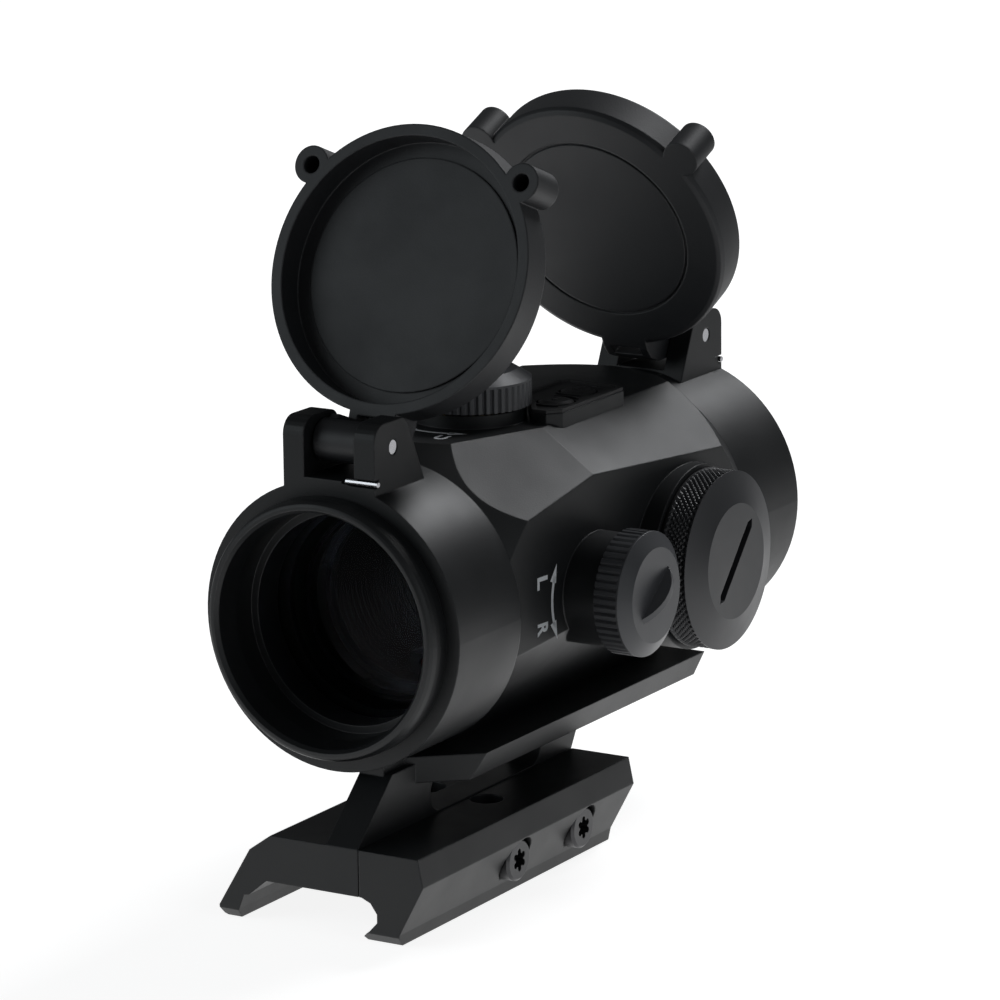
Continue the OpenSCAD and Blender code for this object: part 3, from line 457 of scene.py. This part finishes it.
def make_slot_cutter(top):
    """A narrow block whose ends run out to points."""
    clear_selection()
    bpy.ops.mesh.primitive_cube_add(size=1.0, location=(0, 0, top * MM))
    cutter = bpy.context.object
    cutter.scale = (SLOT_LENGTH * MM, SLOT_WIDTH * MM, SLOT_HEIGHT * MM)
    bpy.ops.object.transform_apply(location=True, rotation=False, scale=True)
    for side in (-1, 1):
        bpy.ops.object.mode_set(mode="EDIT")
        select_where("faces", lambda face: face.normal.x * side > NEARLY)
        reach = (side * SLOT_POINT * MM, 0, 0)
        bpy.ops.mesh.extrude_region_move(TRANSFORM_OT_translate={"value": reach})
        bpy.ops.transform.resize(value=(1, SLOT_TIP, 1))
        bpy.ops.object.mode_set(mode="OBJECT")
    return cutter


def make_battery_cap():
    """Coned cap with a diamond knurl round its rim and a coin slot in its face."""
    clear_selection()
    bpy.ops.mesh.primitive_cylinder_add(vertices=TEETH, radius=CAP_RADIUS * MM, depth=BAND * MM,
                                        end_fill_type="NGON", location=(0, 0, BAND / 2 * MM))
    cap = bpy.context.object
    bpy.ops.object.transform_apply(location=True, rotation=True, scale=True)
    bpy.ops.object.mode_set(mode="EDIT")
    select_where("faces", lambda face: face.normal.z > NEARLY)
    bpy.ops.mesh.extrude_region_move(TRANSFORM_OT_translate={"value": (0, 0, CONE * MM)})
    bpy.ops.transform.resize(value=(FACE_RADIUS / CAP_RADIUS, FACE_RADIUS / CAP_RADIUS, 1))
    bpy.ops.mesh.inset(thickness=FACE_EDGE * MM, depth=FACE_RISE * MM)
    bpy.ops.mesh.inset(thickness=FACE_INSET * MM, depth=0.0)
    select_where("edges",
                 lambda edge: abs(edge.verts[0].co.z - edge.verts[1].co.z) > NEARLY * BAND * MM)
    bpy.ops.mesh.subdivide(number_cuts=TOOTH_ROWS - 1)
    row = BAND / TOOTH_ROWS

    def is_valley(vert):
        level = round(vert.co.z / MM / row)
        if not 1 <= level <= TOOTH_ROWS - 1:
            return False
        step = round(math.degrees(math.atan2(vert.co.y, vert.co.x)) * TEETH / 360.0)
        return (level + step) % 2 == 1

    select_where("verts", is_valley)
    inward = (CAP_RADIUS - TOOTH_DEPTH) / CAP_RADIUS
    bpy.ops.transform.resize(value=(inward, inward, 1), center_override=(0, 0, 0))
    select_where("faces", lambda face: (abs(face.normal.z) < STEEP
                                        and face.calc_center_median().z < BAND * MM))
    bpy.ops.mesh.quads_convert_to_tris(quad_method="SHORTEST_DIAGONAL")
    bpy.ops.object.mode_set(mode="OBJECT")
    cutter = make_slot_cutter(BAND + CONE)
    apply_modifier(cap, "BOOLEAN", operation="DIFFERENCE", object=cutter, solver="EXACT")
    bpy.data.objects.remove(cutter)
    low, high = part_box("battery_cap")
    middle = Vector((low.x, (low.y + high.y) / 2, (low.z + high.z) / 2))
    turn = (Matrix.Rotation(math.radians(90), 4, "Y")
            @ Matrix.Rotation(math.radians(SLOT_TURN), 4, "Z"))
    finish_piece(cap, "knurled_battery_cap", KNURLED, "battery_cover",
                 Matrix.Translation(middle) @ turn)
    pick_only(cap)
    bpy.ops.object.shade_smooth_by_angle(angle=math.radians(SMOOTH_BELOW))
    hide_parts("battery_cap")


# ------------------------------------------------------------------ marks

PAINT = 0.03              # how far a mark stands out
MARK_LIFT = 0.005
TURRET_Y = 36.0
TOP_FLAT = 21.8
SIDE_FLAT = 20.2          # at FLARE_AT, from where the flat opens by FLARE degrees
FLARE_AT = 38.0
FLARE = 4.7
ARC_RADIUS = 10.5
ARC_HALF = 20.0
ARC_MIDDLE = -90.0
ARC_WIDTH = 0.5
HEAD_LENGTH = 2.6
HEAD_BREADTH = 1.4
HEAD_OUT = 0.1
TRIANGLE_SIDE, TRIANGLE_HEIGHT = 1.73, 1.5    # with its corners 1 from its middle
LETTER_SIZE = 4.0         # before it is fitted to its width and height
LETTER_BOLD = 0.13
LETTER_WIDTH = 1.75
LETTER_HEIGHT = 2.4
LETTER_APART = 3.25
LETTER_OUT = -12.75
SIGN_WIDTH = 1.7
SIGN_BAR = 0.45
SIGN_THICK = 0.12
SIGN_SUNK = 0.02
RIDGE_RADIUS = 3.35
RIDGE_WIDTH = 0.34
RIDGE_SWEEP = 70.0
RIDGE_STARTS = (("rear", 235.0), ("front", 55.0))
RIDGE_THICK = 0.27
RIDGE_SUNK = 0.32


def make_letter(name, text, width, height, matrix, body, material, thick=PAINT):
    """A thin raised letter, scaled to a width and height in mm about its own middle."""
    clear_selection()
    bpy.ops.object.text_add(location=(0, 0, 0))
    words = bpy.context.object
    words.data.body = text
    words.data.size = LETTER_SIZE * MM
    words.data.align_x = "CENTER"
    words.data.align_y = "CENTER"
    words.data.offset = LETTER_BOLD * MM
    words.data.extrude = thick * MM
    words.data.resolution_u = 6
    bpy.ops.object.convert(target="MESH")
    words = bpy.context.object
    corners = [Vector(corner) for corner in words.bound_box]
    low = Vector([min(c[i] for c in corners) for i in range(3)])
    high = Vector([max(c[i] for c in corners) for i in range(3)])
    middle = (low + high) / 2
    fit = Matrix.Diagonal((width * MM / (high.x - low.x), height * MM / (high.y - low.y), 1, 1))
    centred = Matrix.Translation((-middle.x, -middle.y, 0))
    finish_piece(words, name, material, body, matrix @ fit @ centred)


def make_strip(radius, width, start, sweep, thick, steps=28):
    """A flat ring segment about the local origin, with a little thickness."""
    clear_selection()
    bpy.ops.mesh.primitive_plane_add(size=1.0, location=(0, 0, 0))
    strip = bpy.context.object
    begin = math.radians(start)
    aim = Vector((math.cos(begin), math.sin(begin), 0))
    bpy.ops.object.mode_set(mode="EDIT")
    select_where("verts", lambda vert: vert.co.y > 0)
    bpy.ops.mesh.delete(type="VERT")
    bpy.ops.mesh.select_all(action="SELECT")
    mesh = bmesh.from_edit_mesh(strip.data)
    mesh.verts.ensure_lookup_table()
    mesh.verts[0].co = aim * (radius - width / 2) * MM
    mesh.verts[1].co = aim * (radius + width / 2) * MM
    bmesh.update_edit_mesh(strip.data)
    bpy.ops.mesh.spin(steps=steps, angle=-math.radians(sweep), center=(0, 0, 0), axis=(0, 0, 1))
    bpy.ops.mesh.select_all(action="SELECT")
    bpy.ops.mesh.extrude_region_move(TRANSFORM_OT_translate={"value": (0, 0, thick * MM)})
    bpy.ops.object.mode_set(mode="OBJECT")
    return strip


def make_arrow_head(radius, at, towards, length, breadth, thick):
    """A slim triangle at the end of a strip, pointing along it."""
    clear_selection()
    bpy.ops.mesh.primitive_circle_add(vertices=3, radius=1.0, fill_type="NGON", location=(0, 0, 0))
    head = bpy.context.object
    bpy.ops.object.mode_set(mode="EDIT")
    bpy.ops.mesh.select_all(action="SELECT")
    bpy.ops.mesh.extrude_region_move(TRANSFORM_OT_translate={"value": (0, 0, 1.0)})
    bpy.ops.object.mode_set(mode="OBJECT")
    angle = math.radians(at)
    place = Matrix.Translation((radius * MM * math.cos(angle), radius * MM * math.sin(angle), 0))
    turn = Matrix.Rotation(angle if towards > 0 else angle + math.pi, 4, "Z")
    size = Matrix.Diagonal((breadth * MM / TRIANGLE_SIDE, length * MM / TRIANGLE_HEIGHT,
                            thick * MM, 1))
    head.matrix_world = place @ turn @ size
    bpy.context.view_layer.update()
    pick_only(head)
    bpy.ops.object.transform_apply(location=True, rotation=True, scale=True)
    return head


def make_turn_mark(name, matrix):
    """A double-headed arc beside a turret: a strip with a head at each end."""
    parts = [make_strip(ARC_RADIUS, ARC_WIDTH, ARC_MIDDLE - ARC_HALF, 2 * ARC_HALF, PAINT)]
    for side in (-1, 1):
        parts.append(make_arrow_head(ARC_RADIUS + HEAD_OUT, ARC_MIDDLE + side * ARC_HALF, side,
                                     HEAD_LENGTH, HEAD_BREADTH, PAINT))
    bpy.ops.object.select_all(action="DESELECT")
    for part in parts:
        part.select_set(True)
    bpy.context.view_layer.objects.active = parts[0]
    bpy.ops.object.join()
    finish_piece(bpy.context.object, name, MARK_PAINT, "sight_body", matrix)


def make_marks():
    """Arc and two letters behind each turret, on the side flat and on the top flat."""
    flare = math.radians(FLARE)
    side = SIDE_FLAT + math.tan(flare) * (TURRET_Y - FLARE_AT)
    ahead = (math.sin(flare), math.cos(flare), 0)
    right_flat = facing((0, 0, -1), ahead, (side + MARK_LIFT, TURRET_Y, 0))
    top_flat = facing((1, 0, 0), (0, 1, 0), (0, TURRET_Y, TOP_FLAT + MARK_LIFT))
    for name, base, pair in (("windage", right_flat, "LR"), ("elevation", top_flat, "DU")):
        make_turn_mark(name + "_turn_mark", base)
        for letter, x in zip(pair, (-LETTER_APART, LETTER_APART)):
            place = base @ Matrix.Translation((x * MM, LETTER_OUT * MM, 0))
            make_letter(name + "_letter_" + letter.lower(), letter, LETTER_WIDTH, LETTER_HEIGHT,
                        place, "sight_body", MARK_PAINT)


def make_keypad_marks():
    """Raised sign on each button, and raised arcs on the pad round the buttons."""
    pad_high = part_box("keypad")[1]
    for node, body, text in (("brighter_button", "brighter_key", "+"),
                             ("dimmer_button", "dimmer_key", "-")):
        low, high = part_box(node)
        x, y = (low.x + high.x) / 2 / MM, (low.y + high.y) / 2 / MM
        top = facing((0, -1, 0), (1, 0, 0), (x, y, high.z / MM - SIGN_SUNK))
        make_letter(node + "_sign", text, SIGN_WIDTH, SIGN_WIDTH if text == "+" else SIGN_BAR,
                    top, body, RUBBER, SIGN_THICK)
        base = facing((1, 0, 0), (0, 1, 0), (x, y, pad_high.z / MM - RIDGE_SUNK))
        for side, start in RIDGE_STARTS:
            strip = make_strip(RIDGE_RADIUS, RIDGE_WIDTH, start, RIDGE_SWEEP, RIDGE_THICK, steps=14)
            finish_piece(strip, "{}_{}_ridge".format(node, side), RUBBER, "sight_body",
                         base)


# ------------------------------------------------------------------ studio

FINDER_Y = 0.05           # metres from here on
FLOOR_SIZE = 24.0
FLOOR_Y = 1.5
FLOOR_BELOW = 0.0001
FLOOR_GREY = 0.5
FLOOR_ROUGH = 0.9
FLOOR_SHOWN = 0.88        # light that the floor adds where the camera sees it
NEAR, FAR = 0.17, 0.24    # distances from the finder between which the mirrored floor fades
FAR_SHARE = 0.2
ROOM = (0.96, 0.98, 1.0, 1)
ROOM_LIGHT = 0.06
ROOM_MIRRORED = 0.03
SOFTBOXES = (             # name, place, size, watts, colour
    ("softbox above", (0.16, 0.9, 0.85), (0.42, 0.4), 7.6, (0.97, 0.98, 1.0)),
    ("softbox left", (-0.75, -0.75, 0.35), (0.7, 0.7), 2.5, (0.9, 0.97, 1.0)),
    ("softbox right", (1.0, -0.2, 0.35), (0.5, 0.7), 0.9, (0.92, 0.97, 1.0)),
)


def seen_in_mirror(tree, path):
    """1 where a ray comes off gloss or through glass."""
    mirrored = add_node(tree, "ShaderNodeMath", operation="MAXIMUM")
    tree.links.new(path.outputs["Is Glossy Ray"], mirrored.inputs[0])
    tree.links.new(path.outputs["Is Transmission Ray"], mirrored.inputs[1])
    return mirrored.outputs["Value"]


def make_floor():
    """Pale floor that shows white to the camera, and bright in the finder's gloss only nearby."""
    clear_selection()
    bpy.ops.mesh.primitive_plane_add(size=FLOOR_SIZE,
                                     location=(0, FLOOR_Y, cad_box[0].z - FLOOR_BELOW))
    floor = bpy.context.object
    floor.name = "floor"
    material, tree, shader = new_material("pale floor")
    link = tree.links.new
    shader.inputs["Base Color"].default_value = (FLOOR_GREY, FLOOR_GREY, FLOOR_GREY, 1)
    shader.inputs["Roughness"].default_value = FLOOR_ROUGH
    shader.inputs["Specular IOR Level"].default_value = 0.0
    path = add_node(tree, "ShaderNodeLightPath")
    place = add_node(tree, "ShaderNodeTexCoord")
    reach = add_node(tree, "ShaderNodeVectorMath", operation="DISTANCE")
    reach.inputs[1].default_value = (0, FINDER_Y - FLOOR_Y, 0)
    fade = add_node(tree, "ShaderNodeMapRange", From_Min=NEAR, From_Max=FAR,
                    To_Min=1.0, To_Max=FAR_SHARE)
    dimmed = add_node(tree, "ShaderNodeMath", operation="MULTIPLY")
    lift = add_node(tree, "ShaderNodeMath", operation="MULTIPLY_ADD")
    lift.inputs[1].default_value = FLOOR_SHOWN
    link(place.outputs["Object"], reach.inputs[0])
    link(reach.outputs["Value"], fade.inputs["Value"])
    link(seen_in_mirror(tree, path), dimmed.inputs[0])
    link(fade.outputs["Result"], dimmed.inputs[1])
    link(path.outputs["Is Camera Ray"], lift.inputs[0])
    link(dimmed.outputs["Value"], lift.inputs[2])
    shader.inputs["Emission Color"].default_value = (1, 1, 1, 1)
    link(lift.outputs["Value"], shader.inputs["Emission Strength"])
    dress(floor, material)


def make_room():
    """Dim world light, which the camera sees as white."""
    world = bpy.data.worlds.new("soft room")
    bpy.context.scene.world = world
    world.use_nodes = True
    tree = world.node_tree
    sky = tree.nodes["Background"]
    sky.inputs["Color"].default_value = ROOM
    path = add_node(tree, "ShaderNodeLightPath")
    dimmed = add_node(tree, "ShaderNodeMath", operation="MULTIPLY_ADD")
    dimmed.inputs[1].default_value = ROOM_MIRRORED
    dimmed.inputs[2].default_value = ROOM_LIGHT
    shown = add_node(tree, "ShaderNodeMath", operation="ADD")
    tree.links.new(seen_in_mirror(tree, path), dimmed.inputs[0])
    tree.links.new(path.outputs["Is Camera Ray"], shown.inputs[0])
    tree.links.new(dimmed.outputs["Value"], shown.inputs[1])
    tree.links.new(shown.outputs["Value"], sky.inputs["Strength"])


def hang_softboxes():
    for name, place, size, power, colour in SOFTBOXES:
        data = bpy.data.lights.new(name, "AREA")
        data.shape = "RECTANGLE"
        data.size, data.size_y = size
        data.energy = power
        data.color = colour
        lamp = bpy.data.objects.new(name, data)
        lamp.location = place
        aim = Vector((0, FINDER_Y, 0)) - Vector(place)
        lamp.rotation_euler = aim.to_track_quat("-Z", "Y").to_euler()
        bpy.context.scene.collection.objects.link(lamp)


# --------------------------------------------------------------- the scene

aim_camera()
dress_nodes()
make_battery_cap()
make_marks()
make_keypad_marks()
make_floor()
make_room()
hang_softboxes()

bpy.context.scene.view_settings.view_transform = "Standard"
